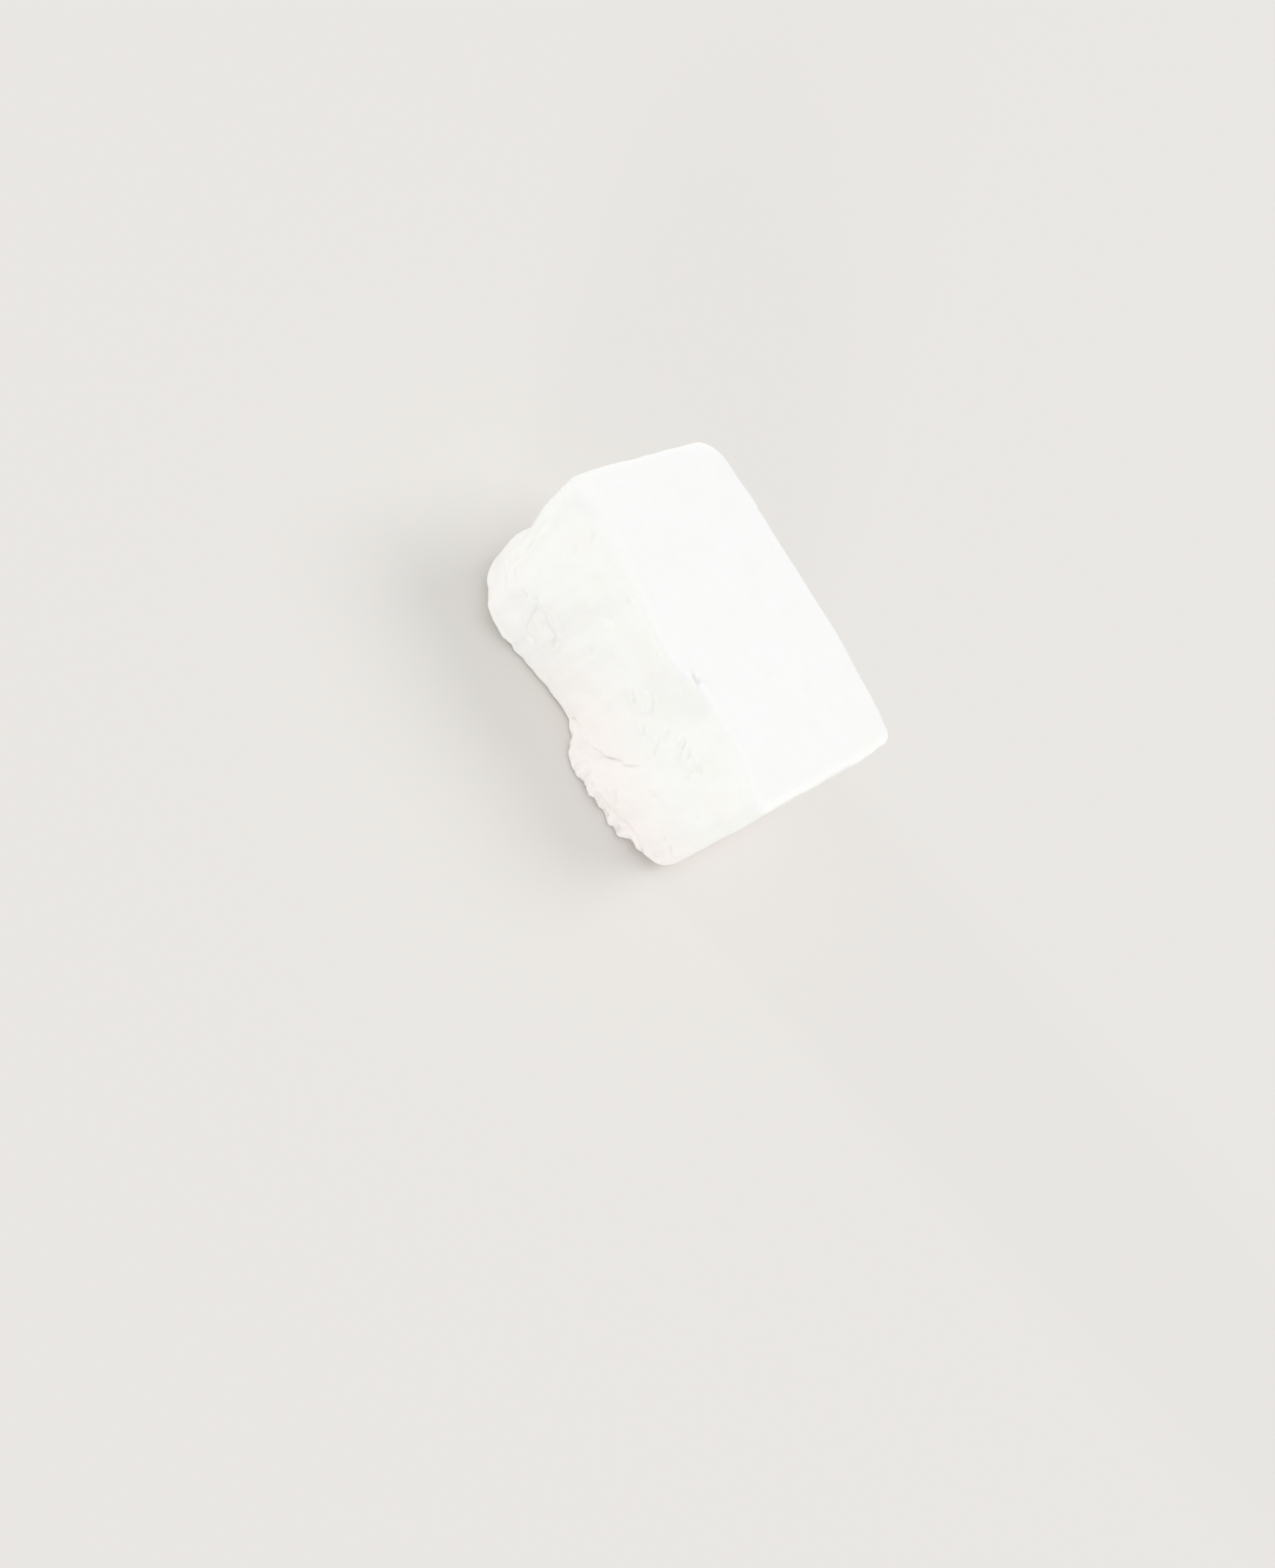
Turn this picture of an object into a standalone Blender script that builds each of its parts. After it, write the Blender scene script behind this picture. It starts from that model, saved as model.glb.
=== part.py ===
"""A hand-cut block of double cream cheese, one soft white solid lying on a large face.

X runs along the block, -Y is its rough, torn side, +Z points out of its smooth face, and the
origin is the middle of the box round its foot. All lengths are metres.
"""

import bmesh
import bpy
from mathutils import Vector, noise

# The block before its sides swell and its edges wear.
LENGTH = 0.114
WIDTH = 0.074
HEIGHT = 0.057

# How round the edges are. The ridge is the edge between the smooth face and the rough side.
RIDGE_RADIUS = 0.0024
BACK_EDGE_RADIUS = 0.0034
NEAR_END_RADIUS = 0.0030
FAR_END_RADIUS = 0.0040
FOOT_RADIUS = 0.0022
# Extra roundness of the ridge, as (x, radius): it is rubbed down towards the far end.
RIDGE_WEAR = ((-0.057, 0.0028), (-0.044, 0.0048), (-0.026, 0.0028), (-0.010, 0.0006), (0.040, 0.0),
              (0.057, 0.0010))
# Upright corners, by the signs of x and y: their radius at the smooth face and at the foot.
CORNER_RADII = {
    (-1, -1): (0.0060, 0.0155),
    (-1, 1): (0.0110, 0.0110),
    (1, -1): (0.0040, 0.0095),
    (1, 1): (0.0045, 0.0060),
}
# How far up each corner of the foot is worn, by the same signs.
CORNER_LIFTS = {(-1, -1): 0.0060, (-1, 1): 0.0040, (1, -1): 0.0070, (1, 1): 0.0030}
# A corner's roundness runs out along its edges between these distances, in corner radii.
CORNER_FULL = 1.0
CORNER_GONE = 2.2

# A bowed side takes along what is near it: from this far off the middle line, over this width.
SIDE_START = 0.008
SIDE_BLEND = 0.025
END_START = 0.030
END_BLEND = 0.023
# The rough side's foot leans out of the upright, as (x, distance).
FOOT_LEAN = ((-0.057, 0.0018), (-0.048, 0.0043), (-0.041, 0.0078), (-0.034, 0.0070), (-0.029, 0.0042),
             (-0.024, 0.0012), (-0.019, -0.0002), (-0.0125, -0.0018), (-0.006, -0.0030), (-0.001, -0.0030),
             (0.004, -0.0014), (0.012, 0.0006), (0.036, 0.0012), (0.052, 0.0006))
LEAN_SHAPE = 1.4
# The ridge wanders too, as (x, distance outwards), and the wandering starts at this height.
RIDGE_SWAY = ((-0.057, 0.0), (-0.044, -0.0012), (-0.020, 0.0), (0.002, 0.0022), (0.022, -0.0034),
              (0.040, -0.0028), (0.053, 0.0012), (0.057, 0.0008))
RIDGE_SWAY_START = 0.021
# The back side bows out in the middle, as (x, distance).
BACK_BOW = ((-0.057, 0.0002), (-0.024, -0.0002), (0.0, 0.0012), (0.015, 0.0022), (0.039, 0.0008),
            (0.057, -0.0008))
# The far end swells out all over, but for a dimple at half its height.
FAR_END_SWELL = 0.0026
END_DIMPLE_DEPTH = 0.0016
END_DIMPLE_Z = 0.026
END_DIMPLE_REACH = 0.012

# Below a curved crease the torn foot bulges out in a lip: (x, height of the crease).
CREASE = ((0.0, 0.0028), (0.004, 0.0050), (0.009, 0.0058), (0.015, 0.0091), (0.021, 0.0154),
          (0.027, 0.0252), (0.034, 0.0305))
CREASE_DEPTH = 0.0012
CREASE_WIDTH = 0.0023
CREASE_START_X = -0.002
CREASE_END_X = 0.030
CREASE_FADE = 0.012
LIP_OUT = ((-0.001, 0.0), (0.0015, 0.0008), (0.004, 0.0010), (0.0075, 0.0024), (0.0105, 0.0048),
           (0.016, 0.0052), (0.022, 0.0044), (0.030, 0.0030), (0.041, 0.0022), (0.053, 0.0004))
# The lip starts as a sharp step and turns into a soft swell along the block.
LIP_STEP = 0.0018
LIP_SHARP = 0.0024
LIP_SOFT = 0.0100
LIP_SOFT_START_X = 0.012
LIP_SOFT_END_X = 0.032

# Two cracks meet at the tip of a small wedge of curd: (x, z) of their ends.
WEDGE_TIP = (-0.0352, 0.0212)
WEDGE_FEET = ((-0.0322, 0.0122), (-0.0230, 0.0205))
CRACK_DEPTH = 0.0007
CRACK_WIDTH = 0.0022

# Round pits, as (along, up, radius, depth): along is x, or y on an end, and up is z, or y on the face.
ROUGH_PITS = ((0.0351, 0.0226, 0.0024, 0.0007), (-0.0129, 0.0272, 0.0026, 0.0006),
              (-0.0171, 0.0420, 0.0026, 0.0006), (-0.0470, 0.0430, 0.0028, 0.0006))
FACE_PITS = ((0.0124, -0.0335, 0.0025, 0.0010),)
BACK_PITS = ((-0.0380, 0.0360, 0.0024, 0.0007), (-0.0100, 0.0180, 0.0030, 0.0007),
             (0.0400, 0.0220, 0.0026, 0.0008))
END_PITS = ((-0.0190, 0.0350, 0.0024, 0.0007), (0.0060, 0.0200, 0.0028, 0.0007))

# Dents and swells of the curd: how wide they are, and how deep on each kind of face.
SWELL_SIZE = 0.021
DENT_SIZE = 0.0075
FACE_SWELL = 0.00025
ROUGH_SWELL = 0.0009
OTHER_SWELL = 0.0008
ROUGH_DENT = 0.00055
OTHER_DENT = 0.00028
# The underside stays flat, and the relief grows to its full depth over this height.
FLAT_HEIGHT = 0.0025

# The torn edge under the lip crumbles: lumps and smaller lumps on them.
CRAG_START_X = 0.001
CRAG_END_X = 0.054
CRAG_FADE = 0.006
CRAG_HEIGHT = 0.0100
LUMP_SIZE = 0.0042
LUMP_DEPTH = 0.0016
CRUMB_SIZE = 0.0021
CRUMB_DEPTH = 0.0007
# The torn foot's larger lumps and gaps, as (x, reach, distance outwards), and how far up they reach.
FOOT_LUMPS = ((0.0090, 0.0024, 0.0008), (0.0166, 0.0024, 0.0010), (0.0192, 0.0018, -0.0004),
              (0.0238, 0.0022, 0.0007), (0.0268, 0.0018, -0.0006), (0.0342, 0.0024, 0.0013),
              (0.0368, 0.0018, -0.0007), (0.0434, 0.0030, -0.0026))
FOOT_LUMP_HEIGHT = 0.0070
# A groove runs above it and ends in a gap behind a loose lump: (x, height) and (x, depth).
GROOVE_HEIGHT = ((0.016, 0.0045), (0.030, 0.0034), (0.0345, 0.0046), (0.0385, 0.0066), (0.044, 0.0070),
                 (0.0472, 0.0046), (0.049, 0.0020))
GROOVE_DEPTH = ((0.016, 0.0), (0.022, 0.0006), (0.034, 0.0008), (0.0385, 0.0014), (0.046, 0.0015),
                (0.051, 0.0))
GROOVE_WIDTH = 0.0018

# Spacing of the mesh, how many extra cuts it has around the marks, and how far around them.
CELL = 0.0034
FINE_CUTS = 2
FINE_REACH = 0.0022
FINE_FOOT_START_X = -0.004
FINE_FOOT_HEIGHT = 0.0100
FLAT_TOLERANCE = 1e-7


def smooth(share):
    """0 up to 0, 1 from 1, and a soft slope between them."""
    share = max(0.0, min(1.0, share))
    return share * share * (3.0 - 2.0 * share)


def bump(distance, reach):
    """1 at no distance, falling softly to 0 at the reach."""
    return smooth(1.0 - abs(distance) / reach)


def along(x, knots):
    """The value at x of a soft curve through the (x, value) knots."""
    if x <= knots[0][0]:
        return knots[0][1]
    for (x0, value0), (x1, value1) in zip(knots, knots[1:]):
        if x <= x1:
            return value0 + (value1 - value0) * smooth((x - x0) / (x1 - x0))
    return knots[-1][1]


def sign(value):
    return 1 if value >= 0.0 else -1


def corner_share(distance, corner):
    """1 within a corner radius of the corner and 0 a little further along the edge."""
    return smooth((CORNER_GONE * corner - distance) / ((CORNER_GONE - CORNER_FULL) * corner))


def radii(point):
    """How round the sharp box becomes at this point, along X, Y and Z."""
    side = (sign(point.x), sign(point.y))
    at_face, at_foot = CORNER_RADII[side]
    corner = at_foot + (at_face - at_foot) * smooth(point.z / HEIGHT)
    to_end = LENGTH / 2 - abs(point.x)
    to_side = WIDTH / 2 - abs(point.y)
    near_end = corner_share(to_end, corner)
    near_side = corner_share(to_side, corner)
    if point.z > HEIGHT / 2:
        long_edge = BACK_EDGE_RADIUS if side[1] > 0 else RIDGE_RADIUS + along(point.x, RIDGE_WEAR)
        end_edge = NEAR_END_RADIUS if side[0] > 0 else FAR_END_RADIUS
        corner_rise = (long_edge + end_edge) / 2
    else:
        long_edge = end_edge = FOOT_RADIUS
        corner_rise = CORNER_LIFTS[side]
    edge = end_edge if to_end < to_side else long_edge
    return (
        end_edge + (corner - end_edge) * near_side,
        long_edge + (corner - long_edge) * near_end,
        edge + (corner_rise - edge) * near_end * near_side,
    )


def rounded(point):
    """Where a point of the sharp box lies on the rounded one, and which way the surface faces there."""
    half = (LENGTH / 2, WIDTH / 2, HEIGHT / 2)
    middle = Vector((0.0, 0.0, HEIGHT / 2))
    offset = point - middle
    radius = radii(point)
    core = Vector([max(r - h, min(h - r, place)) for place, h, r in zip(offset, half, radius)])
    reach = Vector([(place - inner) / r for place, inner, r in zip(offset, core, radius)]).normalized()
    start = middle + core + Vector([share * r for share, r in zip(reach, radius)])
    facing = Vector([share / r for share, r in zip(reach, radius)]).normalized()
    return start, facing


def rough_side_out(x, z):
    """How far the rough side stands out of the upright at its foot, its lip and its ridge."""
    down = max(0.0, min(1.0, 1.0 - z / HEIGHT))
    out = along(x, FOOT_LEAN) * down ** LEAN_SHAPE
    out += along(x, RIDGE_SWAY) * smooth((z - RIDGE_SWAY_START) / (HEIGHT - RIDGE_SWAY_START))
    lip = along(x, LIP_OUT)
    step = min(lip, LIP_STEP)
    crease = along(x, CREASE)
    turn = smooth((x - LIP_SOFT_START_X) / (LIP_SOFT_END_X - LIP_SOFT_START_X))
    soften = LIP_SHARP + LIP_SOFT * turn
    out += step * smooth(0.5 + (crease - z) / soften)
    out += (lip - step) * smooth(0.1 + (crease - z) / (crease + soften))
    return out


def moved_sides(start):
    """The rounded box with its sides bowed, leaning and dimpled; the underside stays in its plane."""
    x, y, z = start
    to_front = smooth((-y - SIDE_START) / SIDE_BLEND)
    to_back = smooth((y - SIDE_START) / SIDE_BLEND)
    to_far_end = smooth((-x - END_START) / END_BLEND)
    y += along(x, BACK_BOW) * to_back - rough_side_out(x, z) * to_front
    x += (END_DIMPLE_DEPTH * bump(z - END_DIMPLE_Z, END_DIMPLE_REACH) - FAR_END_SWELL) * to_far_end
    return Vector((x, y, z))


def swell(start, facing):
    """How far the curd swells out here, or dents in where it is negative."""
    broad = noise.noise(start / SWELL_SIZE + Vector((3.1, 0.7, 5.3)))
    local = noise.noise(start / DENT_SIZE + Vector((8.2, 4.4, 1.9)))
    front = max(0.0, -facing.y)
    up = max(0.0, facing.z)
    other = max(0.0, 1.0 - front - up)
    out = broad * (FACE_SWELL * up + ROUGH_SWELL * front + OTHER_SWELL * other)
    return out + local * (ROUGH_DENT * front + OTHER_DENT * other)


def crack_distance(x, z):
    """How far (x, z) is from the nearer of the two straight cracks."""
    tip = Vector(WEDGE_TIP)
    offset = Vector((x, z)) - tip
    distances = []
    for foot in WEDGE_FEET:
        crack = Vector(foot) - tip
        share = max(0.0, min(1.0, offset.dot(crack) / crack.length_squared))
        distances.append((offset - crack * share).length)
    return min(distances)


def on_side(start, facing):
    """The point's own place on the side it belongs to, along and up, and that side's pits."""
    x, y, z = start
    turned = [abs(part) for part in facing]
    if turned[0] == max(turned):
        return y * sign(x), z, END_PITS
    if turned[1] == max(turned):
        return x, z, (BACK_PITS if y > 0.0 else ROUGH_PITS)
    return x, y, (FACE_PITS if facing.z > 0.0 else ())


def marks(start, facing):
    """How deep the block is marked here: by pits, and on the rough side by its crease and cracks."""
    u, v, pits = on_side(start, facing)
    depth = sum(deep * bump(((u - pu) ** 2 + (v - pv) ** 2) ** 0.5, radius) for pu, pv, radius, deep in pits)
    if pits is ROUGH_PITS:
        fade = smooth((CREASE_END_X - u) / CREASE_FADE) * smooth((u - CREASE_START_X) / -CREASE_START_X)
        depth += CREASE_DEPTH * bump(v - along(u, CREASE), CREASE_WIDTH) * fade
        depth += CRACK_DEPTH * bump(crack_distance(u, v), CRACK_WIDTH)
    return depth


def crags(start):
    """How far the crumbled edge under the lip stands out here, or is broken away."""
    x, y, z = start
    front = smooth((-y - SIDE_START) / SIDE_BLEND)
    along_foot = smooth((x - CRAG_START_X) / CRAG_FADE) * smooth((CRAG_END_X - x) / CRAG_FADE)
    if front * along_foot <= 0.0 or z > 2.0 * CRAG_HEIGHT:
        return 0.0
    out = LUMP_DEPTH * noise.noise(start / LUMP_SIZE + Vector((1.3, 9.1, 4.2)))
    out += CRUMB_DEPTH * noise.noise(start / CRUMB_SIZE + Vector((6.5, 2.2, 7.7)))
    out *= along_foot * smooth(1.0 - z / CRAG_HEIGHT)
    for lump_x, reach, lump_out in FOOT_LUMPS:
        out += lump_out * bump(x - lump_x, reach) * smooth(1.0 - z / FOOT_LUMP_HEIGHT)
    out -= along(x, GROOVE_DEPTH) * bump(z - along(x, GROOVE_HEIGHT), GROOVE_WIDTH)
    return out * front


def cheese_point(point):
    """Where a point of the sharp box ends up on the finished block."""
    start, facing = rounded(point)
    place = moved_sides(start)
    place += facing * (swell(start, facing) - marks(start, facing)) * smooth(place.z / FLAT_HEIGHT)
    place += Vector((facing.x, facing.y, 0.0)) * crags(start)
    place.z = max(place.z, 0.0)
    return place


def cuts(low, high):
    """Evenly spaced places between the two ends of a side, about a cell apart."""
    count = round((high - low) / CELL)
    return [low + (high - low) * step / count for step in range(1, count)]


def sliced_box():
    """A box of the block's size, cut across its three axes into cells."""
    bm = bmesh.new()
    bmesh.ops.create_cube(bm, size=1.0)
    bmesh.ops.scale(bm, vec=(LENGTH, WIDTH, HEIGHT), verts=bm.verts)
    bmesh.ops.translate(bm, vec=(0.0, 0.0, HEIGHT / 2), verts=bm.verts)
    ranges = ((-LENGTH / 2, LENGTH / 2), (-WIDTH / 2, WIDTH / 2), (0.0, HEIGHT))
    for axis, (low, high) in enumerate(ranges):
        normal = Vector((0.0, 0.0, 0.0))
        normal[axis] = 1.0
        for place in cuts(low, high):
            geometry = bm.verts[:] + bm.edges[:] + bm.faces[:]
            bmesh.ops.bisect_plane(bm, geom=geometry, plane_co=normal * place, plane_no=normal)
    return bm


def has_fine_mark(middle, normal):
    """Whether a cell of the box carries a mark too small for the plain cells."""
    u, v, pits = on_side(middle, normal)
    if any(((u - pu) ** 2 + (v - pv) ** 2) ** 0.5 < radius + FINE_REACH for pu, pv, radius, _ in pits):
        return True
    if pits is not ROUGH_PITS:
        return False
    at_foot = u > FINE_FOOT_START_X and v < FINE_FOOT_HEIGHT
    at_crease = FINE_FOOT_START_X < u < CREASE_END_X and abs(v - along(u, CREASE)) < CREASE_WIDTH + FINE_REACH
    return at_foot or at_crease or crack_distance(u, v) < CRACK_WIDTH + FINE_REACH


def refine_marks(bm):
    """Cut the cells around the small marks finer."""
    edges = set()
    for face in bm.faces:
        if has_fine_mark(face.calc_center_median(), face.normal):
            edges.update(face.edges)
    bmesh.ops.subdivide_edges(bm, edges=list(edges), cuts=FINE_CUTS, use_grid_fill=True)


def join_underside(bm):
    """Make the flat underside one face."""
    flat = [face for face in bm.faces if all(vert.co.z < FLAT_TOLERANCE for vert in face.verts)]
    bmesh.ops.dissolve_faces(bm, faces=flat, use_verts=True)


def centre_on_foot(bm):
    """Put the origin in the middle of the box round the foot."""
    for axis in (0, 1):
        places = [vert.co[axis] for vert in bm.verts]
        shift = Vector((0.0, 0.0, 0.0))
        shift[axis] = -(min(places) + max(places)) / 2
        bmesh.ops.translate(bm, vec=shift, verts=bm.verts)


def cheese_material():
    """White, moist and a little waxy."""
    material = bpy.data.materials.new("cheese_white")
    material.use_nodes = True
    shader = material.node_tree.nodes["Principled BSDF"]
    shader.inputs["Base Color"].default_value = (0.91, 0.91, 0.87, 1.0)
    shader.inputs["Roughness"].default_value = 0.5
    shader.inputs["Metallic"].default_value = 0.0
    shader.inputs["Subsurface Weight"].default_value = 0.3
    shader.inputs["Subsurface Scale"].default_value = 0.004
    return material


def cheese_block():
    """The whole block, as one closed mesh."""
    bm = sliced_box()
    refine_marks(bm)
    for vert in bm.verts:
        vert.co = cheese_point(vert.co)
    join_underside(bm)
    centre_on_foot(bm)
    bmesh.ops.recalc_face_normals(bm, faces=bm.faces)
    mesh = bpy.data.meshes.new("cheese_block")
    bm.to_mesh(mesh)
    bm.free()
    mesh.shade_smooth()
    mesh.materials.append(cheese_material())
    block = bpy.data.objects.new("cheese_block", mesh)
    bpy.context.scene.collection.objects.link(block)


for old in list(bpy.data.objects):
    bpy.data.objects.remove(old, do_unlink=True)
cheese_block()
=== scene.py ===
# %% [markdown]
# # A block of double cream cheese
# Double cream cheese is a fresh cheese: curd of milk and cream, drained and pressed into a dense,
# soft, white loaf, and cut into blocks with a wire or a long knife. One large face of this block is
# a clean cut. The long side next to it was torn and handled, and its foot crumbled where it tore.
#
# The solid in the frame already has the block's form, in cells about three millimetres wide. A
# finish could go straight onto it, but its cells are too wide for wrinkles, knife strokes and
# crumbs of curd. So this script makes the form once more, with cells of about half a millimetre. It
# keeps the solid's own measures, except where a comment says otherwise, and leaves the solid alone.

import math
import random

import bpy
from mathutils import Matrix, Vector, noise


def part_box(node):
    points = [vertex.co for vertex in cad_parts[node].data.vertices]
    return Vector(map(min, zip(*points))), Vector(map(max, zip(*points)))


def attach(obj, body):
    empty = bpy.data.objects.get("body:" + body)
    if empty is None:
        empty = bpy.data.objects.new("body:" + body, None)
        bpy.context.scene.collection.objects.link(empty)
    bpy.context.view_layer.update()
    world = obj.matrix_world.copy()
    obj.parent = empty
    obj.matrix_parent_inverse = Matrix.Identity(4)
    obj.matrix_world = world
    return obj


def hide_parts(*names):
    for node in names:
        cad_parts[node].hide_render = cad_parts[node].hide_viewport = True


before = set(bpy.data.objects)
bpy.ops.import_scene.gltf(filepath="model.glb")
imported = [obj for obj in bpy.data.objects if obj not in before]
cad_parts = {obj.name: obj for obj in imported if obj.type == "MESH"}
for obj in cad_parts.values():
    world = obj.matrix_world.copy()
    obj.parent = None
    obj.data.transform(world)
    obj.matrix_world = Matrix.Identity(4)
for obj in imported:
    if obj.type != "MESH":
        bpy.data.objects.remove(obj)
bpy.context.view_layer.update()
MM = 0.001


def in_mm(*lengths):
    """Lengths in metres, as text in millimetres."""
    return ", ".join(f"{length / MM:.2f}" for length in lengths) + " mm"


# %% [markdown]
# ## The camera
# The camera looks down on the rough side and the smooth face, about 45 degrees onto each. It is
# rolled over on its side, so that the block seems to stand on its near corner, as a block does that
# leans on others. Three angles could turn it, but a roll this large makes them hard to read. Two
# directions, to the right and up, say the same more plainly. The third, back, is square to both.

# %% The camera
CAMERA_PLACE = Vector((54.30, -350.50, 346.16)) * MM
CAMERA_RIGHT = Vector((0.49790518, 0.64389542, 0.58093814))
CAMERA_UP = Vector((-0.86563584, 0.32838348, 0.37794032))
# The focal length, which Blender takes in millimetres, and the nearest thing the camera can see.
LENS = 33.71
NEAREST_VIEW = 0.01


def turned_to(right, up, place):
    """The matrix of something at a place, with its own right and up along these directions."""
    back = right.cross(up)
    matrix = Matrix((right, up, back)).transposed().to_4x4()
    matrix.translation = place
    return matrix


camera_data = bpy.data.cameras.new("camera")
camera_data.lens = LENS
camera_data.clip_start = NEAREST_VIEW
camera = bpy.data.objects.new("camera", camera_data)
camera.matrix_world = turned_to(CAMERA_RIGHT, CAMERA_UP, CAMERA_PLACE)
bpy.context.scene.collection.objects.link(camera)
bpy.context.scene.camera = camera
print("the camera stands", round(CAMERA_PLACE.length, 3), "m from the middle of the underside")

# %% [markdown]
# ## The measures of the block
# A knife leaves sharp edges, but soft cheese doesn't keep them: fingers, wrapping and its own
# weight round them, each corner differently. The block is first thought of as a sharp box, and
# these numbers say how round each edge and corner of that box becomes. X runs along the block
# towards its near end, the rough side faces -Y, and the smooth face is on top. Lengths are in
# metres.

# %% The box and its edges
LENGTH = 0.114
WIDTH = 0.074
HEIGHT = 0.057
RIDGE_RADIUS = 0.0024
BACK_EDGE_RADIUS = 0.0034
NEAR_END_RADIUS = 0.0030
FAR_END_RADIUS = 0.0040
FOOT_RADIUS = 0.0022
# Extra roundness of the ridge, as (x, radius): it is rubbed down towards the far end.
RIDGE_WEAR = ((-0.057, 0.0028), (-0.044, 0.0048), (-0.026, 0.0028), (-0.010, 0.0006),
              (0.040, 0.0), (0.057, 0.0010))
# Upright corners, by the signs of x and y: their radius at the smooth face and at the foot.
CORNER_RADII = {
    (-1, -1): (0.0060, 0.0155),
    (-1, 1): (0.0110, 0.0110),
    (1, -1): (0.0040, 0.0095),
    (1, 1): (0.0045, 0.0060),
}
# How far up each corner of the foot is worn, by the same signs.
CORNER_LIFTS = {(-1, -1): 0.0060, (-1, 1): 0.0040, (1, -1): 0.0070, (1, 1): 0.0030}
# A corner's roundness runs out along its edges between these distances, in corner radii.
CORNER_FULL = 1.0
CORNER_GONE = 2.2
print("the sharp box is", in_mm(LENGTH, WIDTH, HEIGHT))

# %% [markdown]
# ## Small helpers
# Nothing on soft cheese starts or stops suddenly. `smooth` is a soft slope from 0 to 1, `bump` is a
# soft hump of a given reach, and `along` is a soft curve through a few measured places. Nearly
# every dent, swell and lean further down is built from these three.

# %% Soft slopes, humps and curves


def smooth(share):
    """0 up to 0, 1 from 1, and a soft slope between them."""
    share = max(0.0, min(1.0, share))
    return share * share * (3.0 - 2.0 * share)


def bump(distance, reach):
    """1 at no distance, falling softly to 0 at the reach."""
    return smooth(1.0 - abs(distance) / reach)


def along(x, knots):
    """The value at x of a soft curve through the (x, value) knots."""
    if x <= knots[0][0]:
        return knots[0][1]
    for (x0, value0), (x1, value1) in zip(knots, knots[1:]):
        if x <= x1:
            return value0 + (value1 - value0) * smooth((x - x0) / (x1 - x0))
    return knots[-1][1]


def sign(value):
    """-1 below zero, 1 from zero on."""
    return 1 if value >= 0.0 else -1


print("halfway up a soft slope:", smooth(0.5))

# %% [markdown]
# ## Rounding the box
# A bevel gives every edge one even radius, which looks like plastic. Here each point of the sharp
# box finds its own radius along the three axes, and then moves onto a small ellipsoid in the corner
# that it belongs to. The way the surface faces comes from the same ellipsoid, and all the marks
# later go in or out that way.

# %% How round the box is at a point


def corner_share(distance, corner):
    """1 within a corner radius of the corner and 0 a little further along the edge."""
    return smooth((CORNER_GONE * corner - distance) / ((CORNER_GONE - CORNER_FULL) * corner))


def radii(point):
    """How round the sharp box becomes at this point, along X, Y and Z."""
    side = (sign(point.x), sign(point.y))
    at_face, at_foot = CORNER_RADII[side]
    corner = at_foot + (at_face - at_foot) * smooth(point.z / HEIGHT)
    to_end = LENGTH / 2 - abs(point.x)
    to_side = WIDTH / 2 - abs(point.y)
    near_end = corner_share(to_end, corner)
    near_side = corner_share(to_side, corner)
    if point.z > HEIGHT / 2:
        ridge_edge = RIDGE_RADIUS + along(point.x, RIDGE_WEAR)
        long_edge = BACK_EDGE_RADIUS if side[1] > 0 else ridge_edge
        end_edge = NEAR_END_RADIUS if side[0] > 0 else FAR_END_RADIUS
        corner_rise = (long_edge + end_edge) / 2
    else:
        long_edge = end_edge = FOOT_RADIUS
        corner_rise = CORNER_LIFTS[side]
    edge = end_edge if to_end < to_side else long_edge
    return (
        end_edge + (corner - end_edge) * near_side,
        long_edge + (corner - long_edge) * near_end,
        edge + (corner_rise - edge) * near_end * near_side,
    )


# %% Moving a point onto the rounded box
HALF = (LENGTH / 2, WIDTH / 2, HEIGHT / 2)
MIDDLE = Vector((0.0, 0.0, HEIGHT / 2))


def rounded(point):
    """Where a point of the sharp box lies on the rounded one, and which way it faces there."""
    offset = point - MIDDLE
    radius = radii(point)
    core = Vector([max(r - h, min(h - r, part)) for part, h, r in zip(offset, HALF, radius)])
    reach = [(part - inner) / r for part, inner, r in zip(offset, core, radius)]
    reach = Vector(reach).normalized()
    start = MIDDLE + core + Vector([share * r for share, r in zip(reach, radius)])
    facing = Vector([share / r for share, r in zip(reach, radius)]).normalized()
    return start, facing


ridge_facing = rounded(Vector((0.0, -WIDTH / 2, HEIGHT)))[1]
print("the middle of the ridge faces", [round(part, 2) for part in ridge_facing])

# %% [markdown]
# ## Sides that lean and bow
# A soft block sags a little. Its rough side leans out at the foot, the ridge wanders, the back side
# bows and the far end swells. Low on the rough side a strip of curd has slipped outwards: a lip,
# which starts with a sharp step and softens along the block. A lattice or a sculpting brush could
# push the sides about, but a curve through a few measured places can be read, checked and changed.

# %% The measures of the sides
# The shift of a long side or of the far end starts this far from the middle of the block, and is
# whole after this much more.
SIDE_START = 0.008
SIDE_BLEND = 0.025
END_START = 0.030
END_BLEND = 0.023
# How far the rough side leans out at its foot, how far the ridge sways and how far the back side
# bows, as (x, distance).
FOOT_LEAN = ((-0.057, 0.0018), (-0.048, 0.0043), (-0.041, 0.0078), (-0.034, 0.0070),
             (-0.029, 0.0042), (-0.024, 0.0012), (-0.019, -0.0002), (-0.0125, -0.0018),
             (-0.006, -0.0030), (-0.001, -0.0030), (0.004, -0.0014), (0.012, 0.0006),
             (0.036, 0.0012), (0.052, 0.0006))
# The lean grows downwards by this power, so most of it is low down.
LEAN_SHAPE = 1.4
RIDGE_SWAY = ((-0.057, 0.0), (-0.044, -0.0012), (-0.020, 0.0), (0.002, 0.0022), (0.022, -0.0034),
              (0.040, -0.0028), (0.053, 0.0012), (0.057, 0.0008))
# The sway grows from this height up to the ridge.
RIDGE_SWAY_START = 0.021
BACK_BOW = ((-0.057, 0.0002), (-0.024, -0.0002), (0.0, 0.0012), (0.015, 0.0022),
            (0.039, 0.0008), (0.057, -0.0008))
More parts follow.
